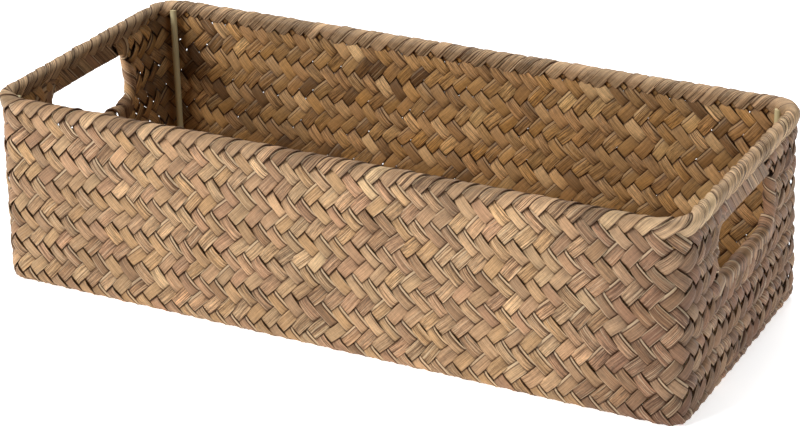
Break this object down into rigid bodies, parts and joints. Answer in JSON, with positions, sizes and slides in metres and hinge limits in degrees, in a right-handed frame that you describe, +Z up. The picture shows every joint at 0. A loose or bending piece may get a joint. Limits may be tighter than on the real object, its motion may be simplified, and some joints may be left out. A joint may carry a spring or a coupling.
{
  "type": "bread basket",
  "caption": "Rectangular plaited-leaf bread basket with a bound rim, a hidden wire frame and a hand hole in each end.",
  "frame": {"origin": "centre of the flat underside, on the surface that the basket stands on", "axes": "+X along the basket's length towards one hand hole, +Y across its width towards the back, +Z up"},
  "size_m": [0.38, 0.166, 0.105],
  "materials": {
    "plaited_leaf": "dried leaf strips, matt to satin, tan with grey-brown and straw strips",
    "bound_leaf": "dried leaf strips bound round the rim, matt to satin, paler tan",
    "coated_wire": "satin olive-khaki coating on steel wire"
  },
  "bodies": {
    "root": {"rim_wire": "coated_wire", "base_wire": "coated_wire", "corner_post_front_left": "coated_wire", "corner_post_front_right": "coated_wire", "corner_post_back_left": "coated_wire", "corner_post_back_right": "coated_wire", "handle_wire_left": "coated_wire", "handle_wire_right": "coated_wire", "floor_weave": "plaited_leaf", "wall_front": "plaited_leaf", "wall_back": "plaited_leaf", "wall_left": "plaited_leaf", "wall_right": "plaited_leaf", "wall_corner_front_left": "plaited_leaf", "wall_corner_front_right": "plaited_leaf", "wall_corner_back_left": "plaited_leaf", "wall_corner_back_right": "plaited_leaf", "rim_binding_front": "bound_leaf", "rim_binding_back": "bound_leaf", "rim_binding_left": "bound_leaf", "rim_binding_right": "bound_leaf", "rim_corner_front_left": "bound_leaf", "rim_corner_front_right": "bound_leaf", "rim_corner_back_left": "bound_leaf", "rim_corner_back_right": "bound_leaf", "handle_wrap_left": "bound_leaf", "handle_wrap_right": "bound_leaf"}
  },
  "joints": []
}
